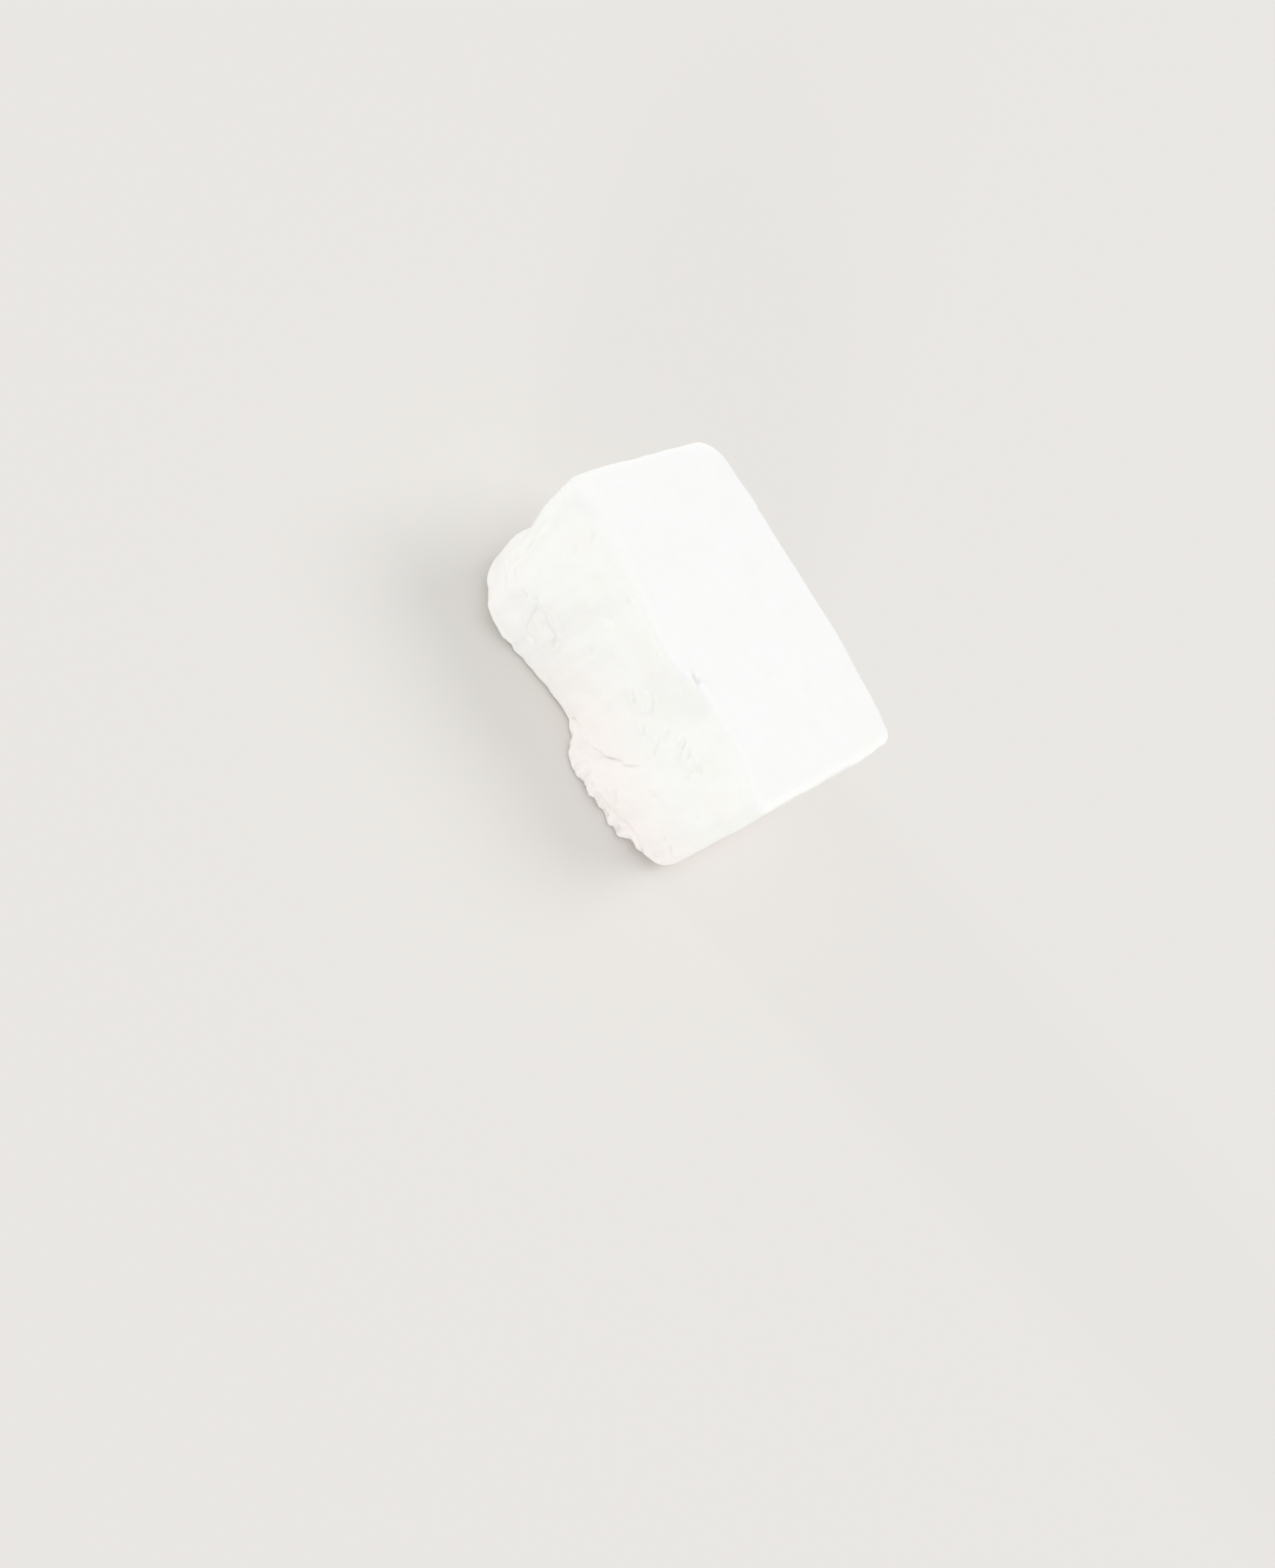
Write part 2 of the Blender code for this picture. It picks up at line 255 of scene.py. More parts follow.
# The far end stands out by this much, but for a long dimple across it at one height.
FAR_END_SWELL = 0.0026
END_DIMPLE_DEPTH = 0.0016
END_DIMPLE_Z = 0.026
END_DIMPLE_REACH = 0.012
print("the foot leans out by up to", in_mm(max(lean for x, lean in FOOT_LEAN)))

# %% The measures of the lip
# Below a curved crease the torn foot bulges out in a lip: (x, height of the crease).
CREASE = ((0.0, 0.0028), (0.004, 0.0050), (0.009, 0.0058), (0.015, 0.0091), (0.021, 0.0154),
          (0.027, 0.0252), (0.034, 0.0305))
# How far the lip stands out, as (x, distance).
LIP_OUT = ((-0.001, 0.0), (0.0015, 0.0008), (0.004, 0.0010), (0.0075, 0.0024),
           (0.0105, 0.0048), (0.016, 0.0052), (0.022, 0.0044), (0.030, 0.0030),
           (0.041, 0.0022), (0.053, 0.0004))
# The first part of that is a step at the crease. The rest grows slowly down to the foot.
LIP_STEP = 0.0018
# The step takes this much height where it is sharp, and so much more where it has softened,
# which happens between these two places.
LIP_SHARP = 0.0024
LIP_SOFT = 0.0100
LIP_SOFT_START_X = 0.012
LIP_SOFT_END_X = 0.032
# How far along its slope each of the two is at the height of the crease.
STEP_AT_CREASE = 0.5
REST_AT_CREASE = 0.1
print("the crease climbs to", in_mm(CREASE[-1][1]))

# %% Where each side stands


def front_share(y):
    """0 on the back half of the block, rising softly to 1 near the rough side."""
    return smooth((-y - SIDE_START) / SIDE_BLEND)


def rough_side_out(x, z):
    """How far the rough side stands out of the upright at its foot, its lip and its ridge."""
    down = max(0.0, min(1.0, 1.0 - z / HEIGHT))
    out = along(x, FOOT_LEAN) * down ** LEAN_SHAPE
    out += along(x, RIDGE_SWAY) * smooth((z - RIDGE_SWAY_START) / (HEIGHT - RIDGE_SWAY_START))
    lip = along(x, LIP_OUT)
    step = min(lip, LIP_STEP)
    crease = along(x, CREASE)
    turn = smooth((x - LIP_SOFT_START_X) / (LIP_SOFT_END_X - LIP_SOFT_START_X))
    soften = LIP_SHARP + LIP_SOFT * turn
    out += step * smooth(STEP_AT_CREASE + (crease - z) / soften)
    out += (lip - step) * smooth(REST_AT_CREASE + (crease - z) / (crease + soften))
    return out


def moved_sides(start):
    """The rounded box with its sides bowed, leaning and dimpled. No height changes."""
    x, y, z = start
    to_back = smooth((y - SIDE_START) / SIDE_BLEND)
    to_far_end = smooth((-x - END_START) / END_BLEND)
    dimple = END_DIMPLE_DEPTH * bump(z - END_DIMPLE_Z, END_DIMPLE_REACH)
    y += along(x, BACK_BOW) * to_back - rough_side_out(x, z) * front_share(y)
    x += (dimple - FAR_END_SWELL) * to_far_end
    return Vector((x, y, z))


print("the rough side stands out", in_mm(rough_side_out(0.018, 0.002)), "at its lip")

# %% [markdown]
# ## Swells and dents of the curd
# Pressed curd is never quite even. A smooth random function, `noise`, gives every place its own
# value, and the same one on every run. Dividing the place by a length sets how wide the swells are.
# The clean-cut face gets very little of it, the rough side the most, and the finest layer is like
# the skin of a drained curd. A displacement modifier does much the same, but can't so easily give
# each side its own share.

# %% How far the curd swells out
SWELL_SIZE = 0.021
DENT_SIZE = 0.0075
RIPPLE_SIZE = 0.0030
FACE_SWELL = 0.00025
ROUGH_SWELL = 0.0009
OTHER_SWELL = 0.0008
# The dents are a little deeper than the solid's, and the ripple is here alone.
ROUGH_DENT = 0.00070
OTHER_DENT = 0.00042
FACE_RIPPLE = 0.000012
ROUGH_RIPPLE = 0.00018
OTHER_RIPPLE = 0.00014


def curd_noise(start, size, offset):
    """A random swell of this size, from about -1 to 1. Each offset gives another pattern."""
    return noise.noise(start / size + Vector(offset))


def swell(start, facing):
    """How far the curd swells out here, or dents in where it is negative."""
    broad = curd_noise(start, SWELL_SIZE, (3.1, 0.7, 5.3))
    local = curd_noise(start, DENT_SIZE, (8.2, 4.4, 1.9))
    ripple = curd_noise(start, RIPPLE_SIZE, (2.7, 6.1, 3.3))
    front = max(0.0, -facing.y)
    up = max(0.0, facing.z)
    other = max(0.0, 1.0 - front - up)
    out = broad * (FACE_SWELL * up + ROUGH_SWELL * front + OTHER_SWELL * other)
    out += local * (ROUGH_DENT * front + OTHER_DENT * other)
    return out + ripple * (FACE_RIPPLE * up + ROUGH_RIPPLE * front + OTHER_RIPPLE * other)


print("the rough side swells by up to", in_mm(ROUGH_SWELL))

# %% [markdown]
# ## Creases and cracks
# Two cracks meet at the tip of a small wedge of curd on the rough side, like a V upside down, and a
# crisp crease runs above the lip. The solid has them as soft valleys. Here each is also narrow and
# sharp at its bottom, because curd that parts shows a fine dark gap. Cutting them out with a thin
# blade shape would leave hard rims; a depth that depends on the distance to a line never does.

# %% The measures of the crease and the cracks
CREASE_DEPTH = 0.0012
CREASE_WIDTH = 0.0023
CREASE_START_X = -0.002
CREASE_END_X = 0.030
CREASE_FADE = 0.012
CREASE_LINE_DEPTH = 0.00045
CREASE_LINE_WIDTH = 0.0020
WEDGE_TIP = (-0.0352, 0.0212)
# The second foot stands about 4 mm lower than on the solid.
WEDGE_FEET = ((-0.0322, 0.0122), (-0.0242, 0.0166))
# Each crack opens from its tip to its foot: (width at the tip, width at the foot, depth).
CRACK_OPENINGS = ((0.0012, 0.0020, 0.00130), (0.0018, 0.0036, 0.00170))
print("the tip of the wedge is", in_mm(WEDGE_TIP[1]), "above the foot")

# %% How deep the curd has parted


def line_distance(u, v, line_start, line_end):
    """How far (u, v) is from a line, and where along the line the nearest place is, 0 to 1."""
    du, dv = line_end[0] - line_start[0], line_end[1] - line_start[1]
    share = ((u - line_start[0]) * du + (v - line_start[1]) * dv) / (du * du + dv * dv)
    share = max(0.0, min(1.0, share))
    off_u, off_v = u - line_start[0] - du * share, v - line_start[1] - dv * share
    return (off_u * off_u + off_v * off_v) ** 0.5, share


def parted_curd(x, z):
    """How deep the crease and the two cracks are at (x, z) of the rough side."""
    to_end = smooth((CREASE_END_X - x) / CREASE_FADE)
    fade = to_end * smooth((x - CREASE_START_X) / -CREASE_START_X)
    off_crease = z - along(x, CREASE)
    depth = CREASE_DEPTH * bump(off_crease, CREASE_WIDTH) * fade
    depth += CREASE_LINE_DEPTH * bump(off_crease, CREASE_LINE_WIDTH) * fade
    cracks = []
    for foot, (tip_width, foot_width, deep) in zip(WEDGE_FEET, CRACK_OPENINGS):
        distance, share = line_distance(x, z, WEDGE_TIP, foot)
        cracks.append(deep * bump(distance, tip_width + (foot_width - tip_width) * share))
    return depth + max(cracks)


print("the crease is", in_mm(parted_curd(0.010, along(0.010, CREASE))), "deep")

# %% [markdown]
# ## Pits, wrinkles and strokes
# Small marks are listed by their place on the side that carries them: along the block or the end,
# and up from the foot. A pit is round. A stroke is a short straight groove with a soft bank beside
# it, as the tip of a knife or a fold of the wrapping leaves it; one with a negative depth stands
# out as a fine ridge. Shading alone could suggest such marks, but then they wouldn't be there at
# the outline, nor in the mesh when it is used without its finish. The solid has the listed pits,
# and the strokes are here alone.

# %% The pits that are listed
# Each pit: (along, up, radius, depth), and on the face across instead of up.
ROUGH_PITS = ((0.0351, 0.0226, 0.0024, 0.0007), (-0.0129, 0.0272, 0.0026, 0.0006),
              (-0.0171, 0.0420, 0.0026, 0.0006), (-0.0470, 0.0430, 0.0028, 0.0006))
FACE_PITS = ((0.0124, -0.0335, 0.0025, 0.0010),)
BACK_PITS = ((-0.0380, 0.0360, 0.0024, 0.0007), (-0.0100, 0.0180, 0.0030, 0.0007),
             (0.0400, 0.0220, 0.0026, 0.0008))
END_PITS = ((-0.0190, 0.0350, 0.0024, 0.0007), (0.0060, 0.0200, 0.0028, 0.0007))
print(len(ROUGH_PITS), "pits on the rough side")

# %% The strokes that are listed
# Each stroke: (start, end, width, depth).
ROUGH_STROKES = (
    # Cuts of a blunt knife between the crease and the ridge: raised bars and hollows beside them.
    ((0.0079, 0.0397), (0.0118, 0.0359), 0.0013, -0.00100),
    ((0.0088, 0.0418), (0.0125, 0.0380), 0.0010, 0.00070),
    ((0.0053, 0.0350), (0.0079, 0.0327), 0.0012, 0.00080),
    ((0.0154, 0.0315), (0.0178, 0.0295), 0.0013, 0.00070),
    ((0.0190, 0.0388), (0.0217, 0.0368), 0.0013, -0.00060),
    ((0.0206, 0.0332), (0.0229, 0.0315), 0.0012, -0.00090),
    ((0.0243, 0.0410), (0.0269, 0.0392), 0.0011, -0.00100),
    ((0.0251, 0.0425), (0.0277, 0.0407), 0.0009, 0.00060),
    ((0.0232, 0.0309), (0.0255, 0.0292), 0.0012, 0.00070),
    ((0.0274, 0.0386), (0.0297, 0.0370), 0.0011, -0.00090),
    ((0.0289, 0.0422), (0.0316, 0.0404), 0.0011, 0.00085),
    ((0.0330, 0.0429), (0.0353, 0.0413), 0.0010, -0.00085),
    ((0.0349, 0.0360), (0.0353, 0.0357), 0.0016, -0.00060),
    ((0.0463, 0.0332), (0.0490, 0.0318), 0.0014, 0.00065),
    # A small seam under the lip, and the smooth nub and the nicks at the near corner.
    ((0.0256, 0.0095), (0.0304, 0.0066), 0.0015, -0.00090),
    ((0.0268, 0.0108), (0.0312, 0.0082), 0.0011, 0.00050),
    ((0.0514, 0.0092), (0.0534, 0.0102), 0.0024, -0.00150),
    ((0.0500, 0.0166), (0.0538, 0.0126), 0.0011, 0.00110),
    ((0.0470, 0.0172), (0.0492, 0.0160), 0.0012, 0.00070),
    # The groove that runs round the far end, and the wrinkles beside it.
    ((-0.0500, 0.0400), (-0.0506, 0.0321), 0.0019, 0.00085),
    ((-0.0506, 0.0321), (-0.0502, 0.0245), 0.0021, 0.00110),
    ((-0.0502, 0.0245), (-0.0476, 0.0175), 0.0019, 0.00100),
    ((-0.0499, 0.0169), (-0.0442, 0.0168), 0.0012, -0.00070),
    ((-0.0475, 0.0200), (-0.0434, 0.0187), 0.0011, 0.00070),
    ((-0.0418, 0.0186), (-0.0394, 0.0171), 0.0012, -0.00060),
    ((-0.0400, 0.0205), (-0.0381, 0.0194), 0.0011, 0.00065),
    ((-0.0470, 0.0145), (-0.0425, 0.0130), 0.0013, 0.00065),
    # The raised rims beside the two cracks, and a fine ridge along the foot.
    ((-0.0373, 0.0226), (-0.0338, 0.0150), 0.0015, -0.00070),
    ((-0.0334, 0.0184), (-0.0296, 0.0158), 0.0014, -0.00050),
    ((-0.0425, 0.0048), (-0.0290, 0.0018), 0.0014, -0.00085),
    # Single dents and one small rise.
    ((-0.0392, 0.0446), (-0.0378, 0.0437), 0.0017, 0.00070),
    ((-0.0396, 0.0530), (-0.0380, 0.0520), 0.0015, 0.00060),
    ((-0.0180, 0.0535), (-0.0165, 0.0520), 0.0015, 0.00060),
    ((-0.0222, 0.0170), (-0.0214, 0.0150), 0.0016, -0.00050),
    ((-0.0280, 0.0110), (-0.0262, 0.0095), 0.0015, 0.00070),
)
# A chip on the face beside the ridge: a short deep nick with a raised flake behind it.
FACE_STROKES = (
    ((0.0094, -0.0324), (0.0144, -0.0356), 0.0009, 0.00080),
    ((0.0118, -0.0312), (0.0160, -0.0340), 0.0013, -0.00035),
)
print(len(ROUGH_STROKES), "strokes on the rough side")

# %% [markdown]
# ## Marks that are scattered
# Beside the listed marks each side gets fainter ones, from a random number generator with a fixed
# seed, so that they fall the same way every time. They keep to what real ones do: most are faint, a
# few are deeper, and the strokes on one side run roughly one way, because one hand and one knife
# made them.

# %% Strokes and pits at random places
# A range holds the smallest and the largest value. Places along are shares of half the side's
# length, and places up are shares of its height.
STROKE_ALONG = (-0.84, 0.80)
STROKE_UP = (0.08, 0.92)
STROKE_REACH = (0.0015, 0.0045)
STROKE_SLOPE = -0.80
STROKE_TURN = (-0.25, 0.25)
STROKE_WIDTH = (0.0009, 0.0015)
STROKE_STRENGTH = (0.4, 1.0)
# Two chances in three for a groove, and one for a somewhat lower ridge.
STROKE_WAYS = (1.0, 1.0, -0.8)
PIT_ALONG = (-0.84, 0.84)
PIT_RADIUS = (0.0007, 0.0017)
PIT_STRENGTH = (0.5, 1.0)


def scattered_strokes(draw, half_length, count, depth):
    """Short strokes on a side that reaches half_length both ways."""
    strokes = []
    for _ in range(count):
        u = draw.uniform(*STROKE_ALONG) * half_length
        v = draw.uniform(*STROKE_UP) * HEIGHT
        reach = draw.uniform(*STROKE_REACH)
        rise = STROKE_SLOPE + draw.uniform(*STROKE_TURN)
        strength = depth * draw.uniform(*STROKE_STRENGTH) * draw.choice(STROKE_WAYS)
        width = draw.uniform(*STROKE_WIDTH)
        strokes.append(((u, v), (u + reach, v + reach * rise), width, strength))
    return tuple(strokes)


def scattered_pits(draw, half_length, limits, count, depth):
    """Small round pits on a side, between these limits up or across it."""
    pits = []
    for _ in range(count):
        u = draw.uniform(*PIT_ALONG) * half_length
        v = draw.uniform(*limits)
        radius = draw.uniform(*PIT_RADIUS)
        strength = draw.uniform(*PIT_STRENGTH)
        pits.append((u, v, radius, depth * radius / PIT_RADIUS[1] * strength))
    return tuple(pits)


print("a scattered stroke reaches at most", in_mm(STROKE_REACH[1]), "along its side")

# %% All the marks of each side
SEED = 20
UPRIGHT_LIMITS = (0.004, 0.053)
LYING_LIMITS = (-0.034, 0.034)
LISTED = {
    "rough": (ROUGH_PITS, ROUGH_STROKES),
    "face": (FACE_PITS, FACE_STROKES),
    "back": (BACK_PITS, ()),
    "near_end": (END_PITS, ()),
    "far_end": (END_PITS, ()),
    "under": ((), ()),
}
# Each side: half its length, the limits of its pits, and then for the scattered pits and for the
# scattered strokes (how many, how deep at most).
SCATTERED = {
    "rough": (LENGTH / 2, UPRIGHT_LIMITS, (26, 0.00040), (24, 0.00028)),
    "face": (LENGTH / 2, LYING_LIMITS, (7, 0.00014), (0, 0.0)),
    "back": (LENGTH / 2, UPRIGHT_LIMITS, (26, 0.00060), (26, 0.00036)),
    "near_end": (WIDTH / 2, UPRIGHT_LIMITS, (12, 0.00060), (10, 0.00034)),
    "far_end": (WIDTH / 2, UPRIGHT_LIMITS, (14, 0.00060), (16, 0.00034)),
    "under": (LENGTH / 2, LYING_LIMITS, (16, 0.00030), (0, 0.0)),
}
draw = random.Random(SEED)
MARKS = {}
for side, (half_length, limits, more_pits, more_strokes) in SCATTERED.items():
    pits, strokes = LISTED[side]
    pits += scattered_pits(draw, half_length, limits, *more_pits)
    strokes += scattered_strokes(draw, half_length, *more_strokes)
    MARKS[side] = (pits, strokes)
print({side: len(pits) + len(strokes) for side, (pits, strokes) in MARKS.items()}, "marks")

# %% [markdown]
# ## Reading the marks at a point
# A point of the block belongs to the side that it faces most. Its place on that side says which
# marks reach it, and their depths add up.

# %% Which side a point is on


def on_side(start, facing):
    """The side a point belongs to, and its place there: along and up, or along and across."""
    x, y, z = start
    turned = [abs(part) for part in facing]
    if turned[0] == max(turned):
        return ("near_end" if x > 0.0 else "far_end"), y * sign(x), z
    if turned[1] == max(turned):
        return ("back" if y > 0.0 else "rough"), x, z
    return ("face" if facing.z > 0.0 else "under"), x, y


end_middle = Vector((LENGTH / 2, 0.0, HEIGHT / 2))
print("the side of a point on the near end:", on_side(end_middle, Vector((1.0, 0.0, 0.0)))[0])

# %% How deep a point is marked
# The low banks beside a stroke reach this many widths from its middle line, and have this share
# of its depth.
BANK_REACH = 2.4
BANK_SHARE = 0.35
# The ends of a stroke have this share of its depth, and it tapers over a third of its length.
END_SHARE = 0.35
TAPERS = 3.0
# A stroke isn't looked for further than this from its start.
STROKE_FARTHEST = 0.016


def stroke_depth(u, v, stroke):
    """How deep a stroke is at (u, v): a groove that tapers to its ends, between two low banks."""
    line_start, line_end, width, depth = stroke
    if max(abs(u - line_start[0]), abs(v - line_start[1])) > STROKE_FARTHEST:
        return 0.0
    distance, share = line_distance(u, v, line_start, line_end)
    if distance > width * BANK_REACH:
        return 0.0
    middle = smooth(share * TAPERS) * smooth((1.0 - share) * TAPERS)
    taper = END_SHARE + (1.0 - END_SHARE) * middle
    bank = bump(distance - width, width * (BANK_REACH - 1.0)) * BANK_SHARE
    return depth * taper * (bump(distance, width) - bank)


def marks(start, facing):
    """How deep the block is marked here by pits, strokes, the crease and the cracks."""
    side, u, v = on_side(start, facing)
    pits, strokes = MARKS[side]
    depth = 0.0
    for pit_u, pit_v, radius, deep in pits:
        if abs(u - pit_u) < radius and abs(v - pit_v) < radius:
            depth += deep * bump(((u - pit_u) ** 2 + (v - pit_v) ** 2) ** 0.5, radius)
    for stroke in strokes:
        depth += stroke_depth(u, v, stroke)
    if side == "rough":
        depth += parted_curd(u, v)
    return depth


chip_place = Vector((FACE_PITS[0][0], FACE_PITS[0][1], HEIGHT))
print("the chip beside the ridge is", in_mm(marks(chip_place, Vector((0, 0, 1)))), "deep")

# %% [markdown]
# ## Chips along the edges
# Where two faces meet, soft cheese chips. Each chip is a small ball-shaped bite that takes a little
# off the edge. The ball's distance is measured in all three directions, so the bite goes round the
# edge as a real one does. Cutting real balls out of the mesh would tear its even cells.

# %% Bites out of the edges
# Each chip: (x, y, z, radius, depth). First those at the ridge and its near corner, then those at
# the back edge.
LISTED_CHIPS = [
    (0.0105, -0.0372, 0.0550, 0.0012, 0.00035),
    (0.0128, -0.0372, 0.0532, 0.0012, 0.00035),
    (0.0545, -0.0350, 0.0560, 0.0013, 0.00035),
    (0.0560, -0.0330, 0.0545, 0.0012, 0.00035),
    (0.0560, -0.0300, 0.0560, 0.0011, 0.00035),
    (-0.0020, -0.0365, 0.0560, 0.0020, 0.00035),
    (0.0285, -0.0350, 0.0555, 0.0022, 0.00035),
    (0.0350, -0.0355, 0.0555, 0.0016, 0.00030),
    (-0.0300, 0.0358, 0.0562, 0.0018, 0.00055),
    (-0.0122, 0.0362, 0.0560, 0.0015, 0.00045),
    (-0.0046, 0.0362, 0.0562, 0.0013, 0.00040),
    (0.0025, 0.0368, 0.0560, 0.0019, 0.00060),
    (0.0074, 0.0368, 0.0560, 0.0014, 0.00050),
    (0.0290, 0.0362, 0.0562, 0.0012, 0.00035),
    (-0.0470, 0.0330, 0.0560, 0.0016, 0.00040),
]
# Scattered ones lie near the foot or near the top, with radii and depths in these ranges.
CHIP_HEIGHTS = (0.0010, 0.0560)
CHIP_DEPTH = (0.00015, 0.00035)
LONG_EDGE_RADIUS = (0.0009, 0.0017)
END_EDGE_RADIUS = (0.0009, 0.0018)
# The long edges and the end edges: how many chips, how far along they reach, how far out they are.
LONG_EDGE_CHIPS = (22, 0.054, 0.0365)
END_EDGE_CHIPS = (14, 0.034, 0.0566)


def scattered_chips(draw, count, half_length, outwards, radii_between):
    """Chips on the edges of two opposite sides, as (along, outwards, z, radius, depth)."""
    chips = []
    for _ in range(count):
        out = draw.choice((-1, 1)) * outwards
        height = draw.choice(CHIP_HEIGHTS)
        place = draw.uniform(-half_length, half_length)
        chips.append((place, out, height, draw.uniform(*radii_between), draw.uniform(*CHIP_DEPTH)))
    return chips


CHIPS = LISTED_CHIPS + scattered_chips(draw, *LONG_EDGE_CHIPS, LONG_EDGE_RADIUS)
for place, out, *rest in scattered_chips(draw, *END_EDGE_CHIPS, END_EDGE_RADIUS):
    CHIPS.append((out, place, *rest))


def chipped(start):
    """How deep the chips bite here."""
    depth = 0.0
    for x, y, z, radius, deep in CHIPS:
        if abs(start.x - x) < radius and abs(start.y - y) < radius and abs(start.z - z) < radius:
            distance = (start - Vector((x, y, z))).length
            depth = max(depth, deep * bump(distance, radius))
    return depth


print(len(CHIPS), "chips along the edges")

# %% [markdown]
# ## The crumbled foot
# Under the lip the curd tore instead of being cut, and its edge is crumbly: lumps of two to five
# millimetres, smaller lumps on them, and grains of curd of about one and a half millimetres that
# round off like cauliflower. Loose crumbs could be scattered along it, but they would look stuck
# on, and the mesh would no longer be one closed skin. So the skin itself is pushed out and in: wide
# lumps come from `noise`, and the grains from Voronoi distances, because the distance to the
# nearest of many scattered points makes a field of touching round heads.

# %% The measures of the torn edge
CRAG_START_X = 0.001
CRAG_END_X = 0.054
CRAG_FADE = 0.006
CRAG_HEIGHT = 0.0100
LUMP_SIZE = 0.0042
LUMP_DEPTH = 0.0016
CRUMB_SIZE = 0.0021
CRUMB_DEPTH = 0.0007
GRAIN_SIZE = 0.0016
GRAIN_DEPTH = 0.00080
NICK_SIZE = 0.0012
NICK_DEPTH = 0.00040
# How high the grains and nicks reach, as (x, height).
STRIP_HEIGHT = ((0.0, 0.0030), (0.012, 0.0050), (0.020, 0.0050), (0.030, 0.0040),
                (0.040, 0.0060), (0.048, 0.0060), (0.054, 0.0040))
# The torn foot's larger lumps and gaps, as (x, reach, distance outwards), and how high they are.
FOOT_LUMPS = ((0.0090, 0.0024, 0.0008), (0.0166, 0.0024, 0.0010), (0.0192, 0.0018, -0.0004),
              (0.0238, 0.0022, 0.0007), (0.0268, 0.0018, -0.0006), (0.0342, 0.0024, 0.0013),
              (0.0368, 0.0018, -0.0007), (0.0434, 0.0030, -0.0026))
FOOT_LUMP_HEIGHT = 0.0070
# A groove runs above it and ends in a gap behind a loose lump: (x, height) and (x, depth).
GROOVE_HEIGHT = ((0.016, 0.0045), (0.030, 0.0034), (0.0345, 0.0046), (0.0385, 0.0066),
                 (0.044, 0.0070), (0.0472, 0.0046), (0.049, 0.0020))
GROOVE_DEPTH = ((0.016, 0.0), (0.022, 0.0006), (0.034, 0.0008), (0.0385, 0.0014),
                (0.046, 0.0015), (0.051, 0.0))
GROOVE_WIDTH = 0.0018
print("the torn edge is", in_mm(CRAG_END_X - CRAG_START_X), "long")

# %% Lumps, crumbs and grains


def torn_stretch(x):
    """1 along the part of the foot that tore, falling softly to 0 at its two ends."""
    return smooth((x - CRAG_START_X) / CRAG_FADE) * smooth((CRAG_END_X - x) / CRAG_FADE)


def torn_share(start):
    """1 in the middle of the torn strip along the foot, falling to 0 around it."""
    x, y, z = start
    return torn_stretch(x) * smooth(1.0 - z / CRAG_HEIGHT) * front_share(y)


def grain(start, size):
    """A field of touching round heads, from -0.5 between them to 0.5 on their tops."""
    nearest = noise.voronoi(start / size)[0][0]
    return 0.5 - min(1.0, nearest)


def crags(start):
    """How far the crumbled edge under the lip stands out here, or is broken away."""
    x, y, z = start
    front = front_share(y)
    stretch = torn_stretch(x)
    if front * stretch <= 0.0 or z > 2.0 * CRAG_HEIGHT:
        return 0.0
    out = LUMP_DEPTH * curd_noise(start, LUMP_SIZE, (1.3, 9.1, 4.2))
    out += CRUMB_DEPTH * curd_noise(start, CRUMB_SIZE, (6.5, 2.2, 7.7))
    out *= stretch * smooth(1.0 - z / CRAG_HEIGHT)
    fine = GRAIN_DEPTH * grain(start, GRAIN_SIZE)
    fine += NICK_DEPTH * curd_noise(start, NICK_SIZE, (4.9, 0.4, 8.8))
    fine += NICK_DEPTH * curd_noise(start, 0.5 * NICK_SIZE, (2.2, 5.1, 6.6))
    # The fine layer is whole up to half of its strip and gone at the top of it.
    out += fine * stretch * smooth(2.0 - 2.0 * z / along(x, STRIP_HEIGHT))
    for lump_x, reach, lump_out in FOOT_LUMPS:
        out += lump_out * bump(x - lump_x, reach) * smooth(1.0 - z / FOOT_LUMP_HEIGHT)
    out -= along(x, GROOVE_DEPTH) * bump(z - along(x, GROOVE_HEIGHT), GROOVE_WIDTH)
    return out * front


print("its lumps and crumbs go in and out by up to", in_mm(LUMP_DEPTH + CRUMB_DEPTH))

# %% [markdown]
# ## All of it together
# A point of the sharp box is rounded, moved with its side, and then pushed in or out by the curd
# and its marks. The underside rests on a flat plate, so there the marks only go inwards. Just above
# it the marks of the sides fade out, and nothing goes below it.

# %% From the sharp box to the finished block
# Up to this height the marks of the sides fade in.
FLAT_HEIGHT = 0.0025
UNDER_DENT = 0.00020
# The underside is where the surface faces down by more than this.
UNDER_FACING = -0.99


def cheese_point(point):
    """Where a point of the sharp box ends up on the finished block."""
    start, facing = rounded(point)
    place = moved_sides(start)
    depth = marks(start, facing) + chipped(start)
    place += facing * (swell(start, facing) - depth) * smooth(place.z / FLAT_HEIGHT)
    place += Vector((facing.x, facing.y, 0.0)) * crags(start)
    place.z = max(place.z, 0.0)
    if facing.z < UNDER_FACING:
        dent = max(0.0, curd_noise(start, DENT_SIZE, (5.5, 1.2, 0.8)))
        place.z += UNDER_DENT * dent + marks(start, facing)
    return place


near_corner = Vector((LENGTH / 2, -WIDTH / 2, 0.0))
print("the near corner of the foot goes to", in_mm(*cheese_point(near_corner)))

# %% [markdown]
# ## The mesh
# The box is cut like a real block into slices along each axis. Its cells are smallest where the
# torn edge is, about 0.4 mm, and larger where the block is calm. A subdivided cube would give every
# place the same cells, too many for the calm parts or too few for the crumbs.

# %% Cutting the box into slices


def slices(start, stops):
    """Places from start on, evenly spaced up to each stop: (stop, about how far apart)."""
    places = [start]
    for stop, step in stops:
        first = places[-1]
        count = round((stop - first) / step)
        places += [first + (stop - first) * number / count for number in range(1, count + 1)]
    return places


